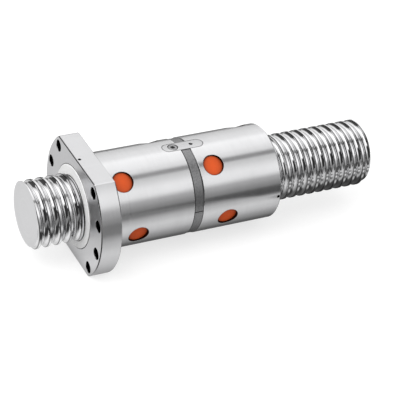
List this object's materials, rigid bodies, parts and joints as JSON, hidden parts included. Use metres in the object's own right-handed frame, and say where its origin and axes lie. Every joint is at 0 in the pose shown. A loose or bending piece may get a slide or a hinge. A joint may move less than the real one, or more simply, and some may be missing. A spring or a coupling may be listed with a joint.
{
  "type": "double ball screw nut",
  "caption": "Preloaded double ball nut with a two-flat mounting flange, radial ball deflectors and a keyed spacer, shown on a length of its ball screw.",
  "frame": {"origin": "centre of the flange's front face, on the screw axis", "axes": "+X along the screw from the flange towards the rear nut, +Z normal to the flange's upper flat, +Y completing a right-handed frame"},
  "size_m": [0.34, 0.13, 0.1],
  "materials": {
    "flanged_nut_steel": "ground, satin",
    "rear_nut_steel": "ground, satin",
    "spacer_steel": "blackened, satin",
    "key_steel": "milled, satin",
    "fastener_steel": "black oxide",
    "wiper_plastic": "smooth, white",
    "deflector_plastic": "moulded, orange",
    "ball_steel": "polished",
    "screw_steel": "hardened and ground"
  },
  "bodies": {
    "nut": {"flanged_nut_body": "flanged_nut_steel", "rear_nut_body": "rear_nut_steel", "spacer_ring_upper": "spacer_steel", "spacer_ring_lower": "spacer_steel", "coupling_key": "key_steel", "key_screw": "fastener_steel", "front_wiper": "wiper_plastic", "rear_wiper": "wiper_plastic", "front_wiper_grub_screw": "fastener_steel", "rear_wiper_grub_screw": "fastener_steel", "front_deflector_1": "deflector_plastic", "front_deflector_2": "deflector_plastic", "front_deflector_3": "deflector_plastic", "front_deflector_4": "deflector_plastic", "front_deflector_5": "deflector_plastic", "rear_deflector_1": "deflector_plastic", "rear_deflector_2": "deflector_plastic", "rear_deflector_3": "deflector_plastic", "rear_deflector_4": "deflector_plastic", "rear_deflector_5": "deflector_plastic"},
    "ball_trains": {"front_ball_train_1": "ball_steel", "front_ball_train_2": "ball_steel", "front_ball_train_3": "ball_steel", "front_ball_train_4": "ball_steel", "front_ball_train_5": "ball_steel", "rear_ball_train_1": "ball_steel", "rear_ball_train_2": "ball_steel", "rear_ball_train_3": "ball_steel", "rear_ball_train_4": "ball_steel", "rear_ball_train_5": "ball_steel"},
    "screw": {"screw_shaft": "screw_steel"}
  },
  "joints": [
    {"name": "screw_spin", "type": "hinge", "parent": "nut", "child": "ball_trains", "pos_m": [0, 0, 0], "axis": [1, 0, 0], "range_deg": [-3600, 1440], "deforming": ["front_ball_train_1", "front_ball_train_2", "front_ball_train_3", "front_ball_train_4", "front_ball_train_5", "rear_ball_train_1", "rear_ball_train_2", "rear_ball_train_3", "rear_ball_train_4", "rear_ball_train_5"]},
    {"name": "screw_travel", "type": "slide", "parent": "ball_trains", "child": "screw", "axis": [1, 0, 0], "range_m": [-0.1001, 0.0401]}
  ],
  "couplings": [
    {"joint": "screw_travel", "follows": "screw_spin", "m_per_rad": 0.0015915}
  ]
}
